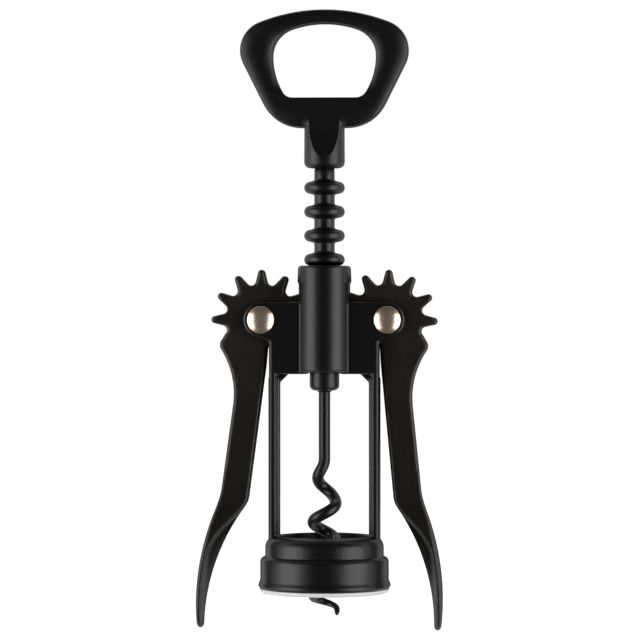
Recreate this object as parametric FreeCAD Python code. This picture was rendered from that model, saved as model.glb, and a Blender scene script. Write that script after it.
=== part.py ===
import FreeCAD, Part
import math
import os

# A wing corkscrew, levers down.  Millimetres.  The origin is the centre of the bell's
# mouth, where the tool sits on a bottle; +Z runs up the spindle and -Y is the front.

# ---- rack and gears ----
rack_pitch = 7.2
teeth_per_turn = 12
rack_rings = 8
lower_ring_count = 1
ring_radius = 6.05
ring_crest_drop = 0.55
ring_crest_half = 1.3
ring_foot_rise = 0.9
ring_foot_half = 1.85
ring_root_half = 2.95
core_radius = 2.9
rack_foot_land = 0.73
rack_top_land = 2.62
rack_pitch_line = 5.149
gear_addendum = 1.3
gear_dedendum = 3.05
gear_valley = 0.9
running_gap = 0.05
cut_over = 1.0
touching = 0.001

# ---- frame casting ----
window_height = 48.9
pivot_rise = 15.8
barrel_rise = 16.2
barrel_radius = 7.7
barrel_nose = 1.8
barrel_bore_gap = 0.2
side_lug_proud = 0.3
side_lug_length = 5.0
side_lug_half = 5.6
barrel_edge_round = 0.9
barrel_foot_round = 0.5
ear_outer_face = 4.8
ear_end_radius = 5.4
ear_edge_round = 1.0
ear_side_inset = 2.4
ear_corner_drop = 6.7
pocket_gap = 0.35
barrel_root_round = 0.8

# ---- posts between the barrel and the bell ----
post_rib_width = 2.4
post_rib_land = 0.1
post_flange_width = 3.5
post_flange_depth = 4.4
post_flange_round = 0.8
post_flange_proud = 0.3
post_flange_drop = 1.6
gusset_reach = 3.4
gusset_thickness = 2.4

# ---- liner in the bell ----
liner_bore_radius = 15.1
liner_wall = 2.1
liner_flange_height = 1.3
liner_flange_proud = 0.1
liner_flange_round = 0.4
liner_height = 9.0
liner_fit_gap = 0.1
liner_top_gap = 0.3

# ---- bell ----
bell_height = 17.0
bell_wall = 2.0
bell_bead_proud = 0.55
bell_bead_height = 1.9
bell_bead_lip = 0.25
bell_bead_flare = 1.0
bell_step_height = 10.8
bell_step_round = 1.5
bell_shoulder_round = 3.4
bell_roof_land = 1.1
bell_roof = 1.8
bell_neck_wall = 1.7

# ---- levers ----
lever_thickness = 5.0
lever_side_gap = 0.15
left_lever_lift = 0.3
right_lever_lift = -1.8
gear_tip_round = 1.15
gear_flank_half = 1.7
gear_teeth = 7
shoulder_top = (11.75, -5.8)
shoulder_point = (12.45, -7.5)
shoulder_foot = (11.87, -9.2)
neck_waist = 8.2
neck_waist_drop = 22.2
neck_end = (8.4, -25.5)
arm_top_drop = 13.0
arm_inner_start = -1.64
arm_inner_slope = 0.127
arm_outer_slope = 0.133
arm_end_drop = 46.0
paddle_outer_radius = 75.0
paddle_outer_reach = 19.26
paddle_outer_drop = 85.5
paddle_inner_radius = 62.0
paddle_inner_reach = 16.85
paddle_inner_drop = 93.0
paddle_half_width = 6.8
paddle_flare_start = 49.0
paddle_flare_end = 70.0
paddle_round_start = 79.0
lever_length = 93.0
lever_end_land = 0.5
paddle_crown = 1.0
paddle_rim = 1.7
ridge_start = 55.0
ridge_end = 70.0
rim_land_share = 0.4
rib_half = 1.0
rib_share = 0.4
rib_hollow = 0.15
paddle_bar_sections = 8
paddle_tip_sections = 5

# ---- rivets ----
rivet_head_radius = 4.15
rivet_head_height = 1.5
rivet_edge = 0.3
rivet_sleeve_radius = 2.25
rivet_stud_radius = 1.4
rivet_sleeve_play = 0.6

# ---- handle ----
hub_radius = 6.05
hub_length = 12.1
hub_edge_round = 1.5
hub_scoop_rise = 3.4
hub_scoop_length = 8.2
hub_scoop_depth = 0.1
loop_thickness = 7.8
loop_half_width = 25.3
loop_widest_rise = 23.2
loop_crown_radius = 53.4
loop_corner_radius = 9.0
loop_side_lean = 26.6
loop_chin_radius = 12.8
loop_chin_height = 8.9
loop_edge_round = 1.8
loop_rim_land = 0.4
opening_half_width = 15.45
opening_widest_rise = 12.6
opening_crown_radius = 29.58
opening_corner_radius = 8.6
opening_side_radius = 21.3
opening_foot_radius = 1.5

# ---- worm ----
wire_radius = 1.7
wire_grip = 9.8
worm_pitch = 11.25
worm_radius = 3.4
worm_bend_top = 41.0
worm_bend_bottom = 30.0
worm_bend_lead = 2.0
worm_turn_sections = 12
worm_tip_sections = 4
first_turn_height = 26.6
first_turn_pitch = 17.8
worm_tip_height = -7.2
worm_point_radius = 0.35
worm_point_turn = 100.0
worm_collar_radius = 4.45
worm_collar_length = 6.5
worm_collar_round = 1.4
collar_play = 0.15

# ---- gears, worked out from the rack ----
pitch_radius = rack_pitch * teeth_per_turn / (2.0 * math.pi)
tooth_angle = 360.0 / teeth_per_turn
gear_tip_radius = pitch_radius + gear_addendum
gear_root_radius = pitch_radius - gear_dedendum
gear_flank_foot = gear_root_radius + gear_valley
pocket_radius = gear_tip_radius + pocket_gap
pivot_offset = pitch_radius + rack_pitch_line
rack_rest_lift = -pitch_radius * math.radians((left_lever_lift + right_lever_lift) / 2.0)

# ---- radii and faces that fit each other ----
ring_crest_radius = ring_radius - ring_crest_drop
ring_foot_radius = core_radius + ring_foot_rise
bore_radius = ring_radius + barrel_bore_gap
shank_hole_radius = wire_radius + running_gap
lever_bore_radius = rivet_sleeve_radius + running_gap
liner_sleeve_radius = liner_bore_radius + liner_wall
bell_mouth_radius = liner_sleeve_radius + liner_fit_gap
bell_band_radius = bell_mouth_radius + bell_wall
bell_neck_radius = bell_band_radius - bell_step_round
bell_opening_radius = bell_neck_radius - bell_shoulder_round - bell_roof_land
liner_flange_radius = bell_band_radius + liner_flange_proud
ear_inner_face = lever_thickness / 2.0 + lever_side_gap
ear_side = pivot_offset - ear_side_inset
post_centre = ear_side + post_flange_proud - post_flange_width / 2.0

# ---- heights, stacked up from the bell's mouth ----
barrel_bottom = bell_height + window_height
pivot_height = barrel_bottom + pivot_rise
barrel_top = pivot_height + barrel_rise
mesh_ring_height = pivot_height + rack_rest_lift - rack_pitch / 2.0
low_ring_height = mesh_ring_height - lower_ring_count * rack_pitch
rack_bottom = low_ring_height - ring_root_half - rack_foot_land
rack_top = low_ring_height + (rack_rings - 1) * rack_pitch + ring_root_half + rack_top_land
worm_collar_top = rack_bottom - collar_play
worm_collar_bottom = worm_collar_top - worm_collar_length
hub_bottom = rack_top + collar_play
wire_top = hub_bottom + wire_grip
hub_scoop_foot = hub_bottom + hub_scoop_rise
hub_scoop_top = hub_scoop_foot + hub_scoop_length
loop_bottom = hub_bottom + hub_length
loop_widest = loop_bottom + loop_widest_rise
opening_bottom = loop_bottom + loop_chin_height
opening_widest = opening_bottom + opening_widest_rise


# ---- small geometry helpers ----
def at(x, z):
    """A point of a flat outline in the X-Z plane."""
    return FreeCAD.Vector(x, 0.0, z)


def line(start, end):
    return Part.LineSegment(start, end).toShape()


def arc(start, middle, end):
    return Part.Arc(start, middle, end).toShape()


def arc_about(centre, start, end):
    """The shorter arc from start to end round a centre."""
    bisector = (start - centre) + (end - centre)
    bisector.normalize()
    middle = centre + bisector * (start - centre).Length
    return arc(start, middle, end)


def bowed(start, pull, end):
    """A gentle curve from start to end, drawn towards the pull point."""
    curve = Part.BezierCurve()
    curve.setPoles([start, pull, end])
    return curve.toShape()


def closed_face(edges):
    return Part.Face(Part.Wire(Part.sortEdges(edges)[0]))


def slab(edges, half_thickness):
    """An X-Z outline made a plate, centred on the Y = 0 plane."""
    face = closed_face(edges)
    face.translate(FreeCAD.Vector(0.0, -half_thickness, 0.0))
    return face.extrude(FreeCAD.Vector(0.0, 2.0 * half_thickness, 0.0))


def turned(edges):
    """A half outline at X >= 0 turned all the way round the Z axis."""
    return closed_face(edges).revolve(FreeCAD.Vector(0, 0, 0), FreeCAD.Vector(0, 0, 1), 360)


def upright(radius, low, high):
    """A round bar about the Z axis."""
    return Part.makeCylinder(radius, high - low, FreeCAD.Vector(0.0, 0.0, low))


def cross_pin(radius, x, z, front, back):
    """A round bar along Y, from Y = front to Y = back."""
    return Part.makeCylinder(radius, back - front, FreeCAD.Vector(x, front, z), FreeCAD.Vector(0, 1, 0))


def brick(low, high):
    size = [high[axis] - low[axis] for axis in range(3)]
    return Part.makeBox(size[0], size[1], size[2], FreeCAD.Vector(low[0], low[1], low[2]))


def mirrored(shape):
    """The same shape on the other side of the Y-Z plane."""
    return shape.mirror(FreeCAD.Vector(0, 0, 0), FreeCAD.Vector(1, 0, 0))


def both_sides(edges):
    return edges + [mirrored(edge) for edge in edges]


def rim_at(shape, z):
    """The edges that lie in a level plane."""
    return [edge for edge in shape.Edges if abs(edge.BoundBox.ZMin - z) < touching
            and abs(edge.BoundBox.ZMax - z) < touching]


def smooth_step(value):
    """0 up to 1 with level ends."""
    share = min(max(value, 0.0), 1.0)
    return share * share * (3.0 - 2.0 * share)


def rounded_plate(width, depth, round_radius, low, high, x):
    """An upright bar with a rectangular section and round corners."""
    bar = brick((x - width / 2.0, -depth / 2.0, low), (x + width / 2.0, depth / 2.0, high))
    uprights = [edge for edge in bar.Edges if abs(edge.tangentAt(edge.FirstParameter).z) > 0.9]
    return bar.makeFillet(round_radius, uprights)


# ---- handle: a cast loop that lifts crown caps, on a round hub ----
def crown_top(half_width, widest, corner_radius, crown_radius):
    """Height of a top arc that runs smoothly into two corner arcs."""
    reach = half_width - corner_radius
    return widest + crown_radius - math.sqrt((crown_radius - corner_radius) ** 2 - reach ** 2)


def crown_edges(half_width, widest, corner_radius, crown_radius):
    """The top arc, its joint with one corner arc, and that corner's centre."""
    top = at(0.0, crown_top(half_width, widest, corner_radius, crown_radius))
    crown_centre = at(0.0, top.z - crown_radius)
    corner_centre = at(half_width - corner_radius, widest)
    outward = corner_centre - crown_centre
    outward.normalize()
    joint = corner_centre + outward * corner_radius
    return arc_about(crown_centre, top, joint), joint, corner_centre


def loop_outline():
    crown, joint, corner = crown_edges(loop_half_width, loop_widest, loop_corner_radius,
                                       loop_crown_radius)
    lean = math.radians(loop_side_lean)
    outward = at(math.cos(lean), -math.sin(lean))
    side_top = corner + outward * loop_corner_radius
    chin_z = loop_bottom + loop_chin_radius
    chin_x = side_top.x + ((chin_z - side_top.z) * math.sin(lean) - loop_chin_radius) / math.cos(lean)
    chin = at(chin_x, chin_z)
    side_foot = chin + outward * loop_chin_radius
    chin_foot = at(chin_x, loop_bottom)
    edges = [crown,
             arc_about(corner, joint, side_top),
             line(side_top, side_foot),
             arc_about(chin, side_foot, chin_foot)]
    return both_sides(edges) + [line(chin_foot, at(-chin_x, loop_bottom))]


def opening_outline():
    crown, joint, corner = crown_edges(opening_half_width, opening_widest, opening_corner_radius,
                                       opening_crown_radius)
    widest = at(opening_half_width, opening_widest)
    side_centre = at(opening_half_width - opening_side_radius, opening_widest)
    foot_drop = opening_widest - opening_bottom - opening_foot_radius
    foot_arm = opening_side_radius - opening_foot_radius
    foot_x = side_centre.x + math.sqrt(foot_arm ** 2 - foot_drop ** 2)
    foot = at(foot_x, opening_bottom + opening_foot_radius)
    outward = foot - side_centre
    outward.normalize()
    side_foot = foot + outward * opening_foot_radius
    floor_end = at(foot_x, opening_bottom)
    edges = [crown,
             arc_about(corner, joint, widest),
             arc_about(side_centre, widest, side_foot),
             arc_about(foot, side_foot, floor_end)]
    return both_sides(edges) + [line(floor_end, at(-foot_x, opening_bottom))], foot_x


def face_rims(shape, face_y):
    """The edges that lie in the front and back faces of a plate."""
    rims = []
    for edge in shape.Edges:
        box = edge.BoundBox
        if box.YLength < touching and abs(abs(box.YMin) - face_y) < touching:
            rims.append(edge)
    return rims


def make_loop():
    """The loop with rounded edges, which its narrow top bar limits, and a crisp lip in its opening."""
    face_y = loop_thickness / 2.0
    loop_top = crown_top(loop_half_width, loop_widest, loop_corner_radius, loop_crown_radius)
    opening_top = crown_top(opening_half_width, opening_widest, opening_corner_radius,
                            opening_crown_radius)
    edge_round = min(loop_edge_round, (loop_top - opening_top - loop_rim_land) / 2.0)
    opening_edges, lip_half = opening_outline()
    loop = slab(loop_outline(), face_y).cut(slab(opening_edges, face_y))
    loop = loop.makeFillet(edge_round, face_rims(loop, face_y))
    cap_lip = brick((-lip_half, -face_y, opening_bottom - 2.0 * edge_round),
                    (lip_half, face_y, opening_bottom))
    return loop.fuse(cap_lip)


def make_hub():
    hub = upright(hub_radius, hub_bottom, loop_bottom + loop_edge_round)
    hub = hub.makeFillet(hub_edge_round, rim_at(hub, hub_bottom))
    face_y = loop_thickness / 2.0
    scoop_y = hub_radius - hub_scoop_depth
    beyond = hub_radius + cut_over
    profile = [(face_y, hub_scoop_top), (scoop_y, hub_scoop_foot), (beyond, hub_scoop_foot),
               (beyond, loop_bottom + loop_edge_round), (face_y, loop_bottom + loop_edge_round)]
    for side in (-1.0, 1.0):
        corners = [FreeCAD.Vector(-beyond, side * y, z) for y, z in profile]
        cutter = Part.Face(Part.makePolygon(corners + corners[:1]))
        hub = hub.cut(cutter.extrude(FreeCAD.Vector(2.0 * beyond, 0.0, 0.0)))
    return hub


def make_handle():
    handle = make_loop().fuse(make_hub())
    return handle.cut(upright(wire_radius, hub_bottom - cut_over, wire_top))


# ---- rack sleeve: a turned tube with rings, which the gears drive up and down ----
def make_rack_sleeve():
    """The gears mesh in the gap above the mesh ring, which has lower_ring_count rings below it."""
    inner = shank_hole_radius
    edges = [line(at(inner, rack_bottom), at(core_radius, rack_bottom))]
    here = at(core_radius, rack_bottom)
    for ring in range(rack_rings):
        middle = low_ring_height + ring * rack_pitch
        root_low = at(core_radius, middle - ring_root_half)
        foot_low = at(ring_foot_radius, middle - ring_foot_half)
        crest_low = at(ring_crest_radius, middle - ring_crest_half)
        crest_high = at(ring_crest_radius, middle + ring_crest_half)
        foot_high = at(ring_foot_radius, middle + ring_foot_half)
        root_high = at(core_radius, middle + ring_root_half)
        edges += [line(here, root_low),
                  root_arc(root_low, foot_low, middle, -1.0),
                  line(foot_low, crest_low),
                  arc(crest_low, at(ring_radius, middle), crest_high),
                  line(crest_high, foot_high),
                  root_arc(foot_high, root_high, middle, 1.0)]
        here = root_high
    edges += [line(here, at(core_radius, rack_top)),
              line(at(core_radius, rack_top), at(inner, rack_top)),
              line(at(inner, rack_top), at(inner, rack_bottom))]
    return turned(edges)


def root_arc(start, end, middle, side):
    """The hollow at the root of a ring, which leaves the core smoothly."""
    rise = ring_foot_radius - core_radius
    run = ring_root_half - ring_foot_half
    radius = (rise ** 2 + run ** 2) / (2.0 * rise)
    centre = at(core_radius + radius, middle + side * ring_root_half)
    return arc_about(centre, start, end)


# ---- worm: one steel wire, straight through the rack and coiled to a point below ----
def worm_turn(z):
    """Angle of the wire about the spindle at a height; 0 is +X, and it climbs right-handed."""
    pitch = first_turn_pitch if z > first_turn_height else worm_pitch
    return 2.0 * math.pi * (z - first_turn_height) / pitch


def worm_point(z):
    reach = worm_radius * smooth_step((worm_bend_top - z) / (worm_bend_top - worm_bend_bottom))
    turn = worm_turn(z)
    return FreeCAD.Vector(reach * math.cos(turn), reach * math.sin(turn), z)


def wire_section(path, parameter, radius):
    centre = path.valueAt(parameter)
    circle = Part.Circle(centre, path.tangentAt(parameter), radius)
    return Part.Wire(circle.toShape())


def wire_along(heights, start_radius, end_radius):
    """Round wire through the worm's points at these heights."""
    curve = Part.BSplineCurve()
    curve.interpolate([worm_point(z) for z in heights])
    path = curve.toShape()
    sections = [wire_section(path, path.FirstParameter, start_radius),
                wire_section(path, path.LastParameter, end_radius)]
    sweep = Part.BRepOffsetAPI.MakePipeShell(Part.Wire(path))
    for section in sections:
        sweep.add(section)
    sweep.build()
    sweep.makeSolid()
    return sweep.shape()


def make_worm():
    point_start = worm_tip_height + worm_pitch * worm_point_turn / 360.0
    bend_start = worm_bend_top + worm_bend_lead
    coil_length = bend_start - point_start
    point_length = point_start - worm_tip_height
    coil_sections = int(round(coil_length * worm_turn_sections / worm_pitch))
    coil_heights = [bend_start - coil_length * section / coil_sections
                    for section in range(coil_sections + 1)]
    point_heights = [point_start - point_length * section / worm_tip_sections
                     for section in range(worm_tip_sections + 1)]
    coil = wire_along(coil_heights, wire_radius, wire_radius)
    point = wire_along(point_heights, wire_radius, worm_point_radius)
    return upright(wire_radius, bend_start, wire_top).fuse(coil).fuse(point)


def make_worm_collar():
    """The bush pressed on the wire, which lifts the rack when the worm is pulled."""
    collar = upright(worm_collar_radius, worm_collar_bottom, worm_collar_top)
    collar = collar.makeFillet(worm_collar_round, rim_at(collar, worm_collar_bottom))
    return collar.cut(upright(wire_radius, worm_collar_bottom, worm_collar_top))


# ---- frame: one casting of barrel, ears, posts and bell ----
def stadium_bar(radius, low, high):
    """The barrel's section: round in front and behind, with short flats at the sides."""
    bar = brick((-radius, -barrel_nose, low), (radius, barrel_nose, high))
    for side in (-1.0, 1.0):
        nose = Part.makeCylinder(radius, high - low, FreeCAD.Vector(0.0, side * barrel_nose, low))
        bar = bar.fuse(nose)
    return bar.removeSplitter()


def make_barrel():
    """A tube with a rounded rim, and a shallow lug under the rim at each side."""
    tube = stadium_bar(barrel_radius, barrel_bottom, barrel_top)
    tube = tube.makeFillet(barrel_foot_round, rim_at(tube, barrel_bottom))
    tube = tube.makeFillet(barrel_edge_round, rim_at(tube, barrel_top))
    lug_reach = barrel_radius + side_lug_proud
    lug_foot = barrel_top - side_lug_length
    lugs = stadium_bar(lug_reach, lug_foot, barrel_top)
    lugs = lugs.makeFillet(barrel_edge_round, rim_at(lugs, barrel_top))
    sides = brick((-lug_reach, -side_lug_half, lug_foot), (lug_reach, side_lug_half, barrel_top))
    return tube.fuse(lugs.common(sides))


def make_ears():
    """The front and back plates that carry the levers, as one block before its slot is cut."""
    pivot = at(pivot_offset, pivot_height)
    corner = at(ear_side, pivot_height - ear_corner_drop)
    reach = pivot - corner
    tangent_turn = math.acos(ear_end_radius / reach.Length)
    back_turn = math.atan2(-reach.z, -reach.x) + tangent_turn
    tangent = pivot + at(math.cos(back_turn), math.sin(back_turn)) * ear_end_radius
    top = at(pivot_offset, pivot_height + ear_end_radius)
    tip = at(pivot_offset + ear_end_radius, pivot_height)
    edges = [line(at(0.0, top.z), top),
             arc_about(pivot, top, tip),
             arc_about(pivot, tip, tangent),
             line(tangent, corner),
             line(corner, at(ear_side, barrel_bottom)),
             line(at(ear_side, barrel_bottom), at(0.0, barrel_bottom))]
    block = slab(both_sides(edges), ear_outer_face)
    return block.makeFillet(ear_edge_round, face_rims(block, ear_outer_face))


def make_post():
    """The right post: a deep round-edged rib with a flange at mid depth."""
    foot = bell_height - bell_roof / 2.0
    rib_depth = 2.0 * ear_outer_face
    rib_x = ear_side - post_rib_width / 2.0
    rib_round = (post_rib_width - post_rib_land) / 2.0
    rib = rounded_plate(post_rib_width, rib_depth, rib_round, foot, barrel_bottom + ear_edge_round, rib_x)
    flange = rounded_plate(post_flange_width, post_flange_depth, post_flange_round, foot,
                           barrel_bottom - post_flange_drop, post_centre)
    corner_x = post_centre - post_flange_width / 2.0
    top_z = barrel_bottom + ear_edge_round
    corners = [at(rib_x, top_z), at(corner_x - gusset_reach, top_z),
               at(corner_x - gusset_reach, barrel_bottom), at(corner_x, barrel_bottom - gusset_reach),
               at(rib_x, barrel_bottom - gusset_reach)]
    rims = [line(corners[index], corners[index - 1]) for index in range(len(corners))]
    gusset = slab(rims, gusset_thickness / 2.0)
    return rib.fuse([flange, gusset])


def make_bell():
    """The stepped bell: a band with a bead at its foot, a step, and a rounded neck with a roof."""
    foot = at(bell_band_radius, liner_flange_height)
    bead_out = at(bell_band_radius + bell_bead_proud, liner_flange_height + bell_bead_height / 2.0)
    bead_top = at(bell_band_radius + bell_bead_lip, liner_flange_height + bell_bead_height)
    flare_foot = at(bell_band_radius, bead_top.z)
    flare_top = at(bell_band_radius, bead_top.z + bell_bead_flare)
    step_centre = at(bell_band_radius - bell_step_round, bell_step_height - bell_step_round)
    step_foot = at(bell_band_radius, step_centre.z)
    neck_foot = at(bell_neck_radius, bell_step_height)
    shoulder_centre = at(bell_neck_radius - bell_shoulder_round, bell_height - bell_shoulder_round)
    neck_top = at(bell_neck_radius, shoulder_centre.z)
    roof_edge = at(shoulder_centre.x, bell_height)
    rim = at(bell_opening_radius, bell_height)
    roof_z = bell_height - bell_roof
    ledge_z = liner_height + liner_top_gap
    cavity_radius = bell_neck_radius - bell_neck_wall
    inside = [rim, at(bell_opening_radius, roof_z), at(cavity_radius, roof_z),
              at(cavity_radius, ledge_z), at(bell_mouth_radius, ledge_z),
              at(bell_mouth_radius, liner_flange_height), foot]
    edges = [arc(foot, bead_out, bead_top),
             bowed(bead_top, flare_foot, flare_top),
             line(flare_top, step_foot),
             arc_about(step_centre, step_foot, neck_foot),
             line(neck_foot, neck_top),
             arc_about(shoulder_centre, neck_top, roof_edge),
             line(roof_edge, rim)]
    edges += [line(inside[index], inside[index + 1]) for index in range(len(inside) - 1)]
    return turned(edges)


def make_barrel_root(side_x, side_y):
    """The hollow fillet where the barrel meets one face of the ears."""
    nose = FreeCAD.Vector(0.0, side_y * barrel_nose, barrel_bottom)
    centre_y = ear_outer_face + barrel_root_round
    reach = barrel_radius + barrel_root_round
    centre_x = math.sqrt(reach ** 2 - (centre_y - barrel_nose) ** 2)
    centre = FreeCAD.Vector(side_x * centre_x, side_y * centre_y, barrel_bottom)
    on_barrel = nose + (centre - nose) * (barrel_radius / reach)
    on_ear = FreeCAD.Vector(centre.x, side_y * ear_outer_face, barrel_bottom)
    inside = FreeCAD.Vector(on_barrel.x, side_y * barrel_nose, barrel_bottom)
    under_ear = FreeCAD.Vector(on_ear.x, side_y * barrel_nose, barrel_bottom)
    edges = [arc_about(centre, on_barrel, on_ear), line(on_ear, under_ear),
             line(under_ear, inside), line(inside, on_barrel)]
    height = pivot_height + ear_end_radius - ear_edge_round - barrel_bottom
    return closed_face(edges).extrude(FreeCAD.Vector(0.0, 0.0, height))


def make_frame():
    post = make_post()
    roots = [make_barrel_root(side_x, side_y) for side_x in (-1.0, 1.0) for side_y in (-1.0, 1.0)]
    frame = make_ears()
    for piece in [make_barrel()] + roots + [post, mirrored(post), make_bell()]:
        frame = frame.fuse(piece)
    frame = frame.cut(upright(bore_radius, barrel_bottom - cut_over, barrel_top + cut_over))
    for side in (-1.0, 1.0):
        x = side * pivot_offset
        frame = frame.cut(cross_pin(pocket_radius, x, pivot_height, -ear_inner_face, ear_inner_face))
        frame = frame.cut(cross_pin(rivet_sleeve_radius, x, pivot_height, -ear_outer_face, ear_outer_face))
    return frame


# ---- liner: the plastic ring that protects the bottle's lip ----
def make_bell_liner():
    corner = at(liner_flange_radius - liner_flange_round, liner_flange_round)
    rim = at(liner_flange_radius, corner.z)
    corners = [rim, at(liner_flange_radius, liner_flange_height),
               at(liner_sleeve_radius, liner_flange_height), at(liner_sleeve_radius, liner_height),
               at(liner_bore_radius, liner_height), at(liner_bore_radius, 0.0), at(corner.x, 0.0)]
    edges = [line(corners[index], corners[index + 1]) for index in range(len(corners) - 1)]
    return turned(edges + [arc_about(corner, corners[-1], rim)])


# ---- levers, drawn about their pivot: X outward, Z up, arm hanging down ----
def round_pivot(radius, degrees):
    """A point about the pivot; 0 degrees is towards the rack and 90 is up."""
    turn = math.radians(degrees)
    return at(-radius * math.cos(turn), radius * math.sin(turn))


def tooth_point(radius, offset, degrees):
    """A point beside a tooth's middle line, at a radius and a sideways offset."""
    turn = math.radians(degrees)
    return at(-radius * math.cos(turn) + offset * math.sin(turn),
              radius * math.sin(turn) + offset * math.cos(turn))


def tooth_edges(degrees):
    """One finger-shaped tooth, and its two feet."""
    tip_centre = gear_tip_radius - gear_tip_round
    low_foot = tooth_point(gear_flank_foot, -gear_flank_half, degrees)
    high_foot = tooth_point(gear_flank_foot, gear_flank_half, degrees)
    low_tip = tooth_point(tip_centre, -gear_tip_round, degrees)
    high_tip = tooth_point(tip_centre, gear_tip_round, degrees)
    edges = [line(low_foot, low_tip),
             arc(low_tip, tooth_point(gear_tip_radius, 0.0, degrees), high_tip),
             line(high_tip, high_foot)]
    return edges, low_foot, high_foot


def inner_edge(drop):
    """How far the lever's inner edge stands outward of the pivot at a drop below it."""
    straight = arm_inner_start + arm_inner_slope * (drop - arm_top_drop)
    rise = paddle_inner_drop - drop
    round_part = paddle_inner_reach - paddle_inner_radius + math.sqrt(paddle_inner_radius ** 2 - rise ** 2)
    return max(straight, round_part)


def outer_edge(drop):
    straight = neck_end[0] + arm_outer_slope * (drop + neck_end[1])
    rise = paddle_outer_drop - drop
    round_part = paddle_outer_reach - paddle_outer_radius + math.sqrt(paddle_outer_radius ** 2 - rise ** 2)
    return max(straight, round_part)


def make_gear_and_arm():
    """The flat upper part of the lever, cut from one plate thickness."""
    first_edges, first_foot, valley_start = tooth_edges(0.0)
    edges = list(first_edges)
    for tooth in range(1, gear_teeth):
        degrees = tooth * tooth_angle
        next_edges, low_foot, high_foot = tooth_edges(degrees)
        valley = round_pivot(gear_root_radius, degrees - tooth_angle / 2.0)
        edges.append(arc(valley_start, valley, low_foot))
        edges += next_edges
        valley_start = high_foot
    shoulder_degrees = gear_teeth * tooth_angle
    shoulder_root = tooth_point(gear_flank_foot, -gear_flank_half, shoulder_degrees)
    edges.append(arc(valley_start, round_pivot(gear_root_radius, shoulder_degrees - tooth_angle / 2.0),
                     shoulder_root))
    edges.append(line(shoulder_root, at(*shoulder_top)))
    edges.append(arc(at(*shoulder_top), at(*shoulder_point), at(*shoulder_foot)))
    edges.append(arc(at(*shoulder_foot), at(neck_waist, -neck_waist_drop), at(*neck_end)))
    outer_foot = at(outer_edge(arm_end_drop), -arm_end_drop)
    inner_foot = at(inner_edge(arm_end_drop), -arm_end_drop)
    inner_top = at(arm_inner_start, -arm_top_drop)
    edges += [line(at(*neck_end), outer_foot), line(outer_foot, inner_foot), line(inner_foot, inner_top)]
    root_start = round_pivot(gear_root_radius, -90.0 + tooth_angle / 2.0)
    root_end = round_pivot(gear_root_radius, -tooth_angle / 2.0)
    edges += [line(inner_top, root_start),
              arc_about(at(0.0, 0.0), root_start, root_end),
              line(root_end, first_foot)]
    return slab(edges, lever_thickness / 2.0)


def paddle_half(drop):
    """Half the lever's width, front to back."""
    flare = smooth_step((drop - paddle_flare_start) / (paddle_flare_end - paddle_flare_start))
    half = lever_thickness / 2.0 + (paddle_half_width - lever_thickness / 2.0) * flare
    share = max(0.0, (drop - paddle_round_start) / (lever_length - paddle_round_start))
    return half * math.sqrt(1.0 - share ** 2)


def paddle_section(drop):
    """The lever's outline at one drop: a crowned outer face, two rims and a rib inside."""
    outer = outer_edge(drop)
    inner = inner_edge(drop)
    half = paddle_half(drop)
    flare = smooth_step((drop - paddle_flare_start) / (paddle_flare_end - paddle_flare_start))
    closing = smooth_step((ridge_end - drop) / (ridge_end - ridge_start))
    full_rim = outer - inner
    ridge = outer - min(paddle_rim + (full_rim - paddle_rim) * closing, full_rim)
    corner = outer - min(paddle_crown * flare, (1.0 - rim_land_share) * (outer - ridge))
    rib = min(rib_half, rib_share * half)
    web = (ridge + inner) / 2.0 + rib_hollow * (ridge - inner)

    def point(u, y):
        return FreeCAD.Vector(u, y, -drop)

    edges = [bowed(point(corner, half), point(2.0 * outer - corner, 0.0), point(corner, -half)),
             line(point(corner, -half), point(ridge, -half)),
             bowed(point(ridge, -half), point(web, -(half + rib) / 2.0), point(inner, -rib)),
             line(point(inner, -rib), point(inner, rib)),
             bowed(point(inner, rib), point(web, (half + rib) / 2.0), point(ridge, half)),
             line(point(ridge, half), point(corner, half))]
    return Part.Wire(edges)


def make_paddle():
    """The lower part of the lever, which turns from a flat bar into a broad thumb rest."""
    bar_step = (paddle_round_start - arm_end_drop) / paddle_bar_sections
    drops = [arm_end_drop + bar_step * index for index in range(paddle_bar_sections)]
    tip_reach = lever_length - paddle_round_start
    last_turn = math.asin((tip_reach - lever_end_land) / tip_reach)
    for index in range(paddle_tip_sections + 1):
        drops.append(paddle_round_start + tip_reach * math.sin(last_turn * index / paddle_tip_sections))
    return Part.makeLoft([paddle_section(drop) for drop in drops], True, False)


def make_lever(lift):
    """A left lever in place, raised by lift degrees from the middle of its tooth play."""
    lever = make_gear_and_arm().fuse(make_paddle())
    lever = lever.cut(cross_pin(lever_bore_radius, 0.0, 0.0, -lever_thickness, lever_thickness))
    lever.rotate(FreeCAD.Vector(0, 0, 0), FreeCAD.Vector(0, 1, 0), -lift)
    lever = mirrored(lever)
    lever.translate(at(-pivot_offset, pivot_height))
    return lever


# ---- rivets: a headed stud pressed into a headed sleeve, from the front and the back ----
def rivet_head(facing):
    """A low dome on the outer face of the ears; facing is -1 for the front head."""
    sphere_radius = (rivet_head_radius ** 2 + rivet_head_height ** 2) / (2.0 * rivet_head_height)
    edge = ear_outer_face + rivet_edge
    crown = edge + rivet_head_height
    centre = crown - sphere_radius
    slope = math.sqrt(sphere_radius ** 2 - (rivet_head_radius / 2.0) ** 2)

    def point(radius, depth):
        return FreeCAD.Vector(radius, facing * depth, 0.0)

    rim = point(rivet_head_radius, edge)
    edges = [line(point(0.0, ear_outer_face), point(rivet_head_radius, ear_outer_face)),
             line(point(rivet_head_radius, ear_outer_face), rim),
             arc(rim, point(rivet_head_radius / 2.0, centre + slope), point(0.0, crown)),
             line(point(0.0, crown), point(0.0, ear_outer_face))]
    return closed_face(edges).revolve(FreeCAD.Vector(0, 0, 0), FreeCAD.Vector(0, 1, 0), 360)


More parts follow.
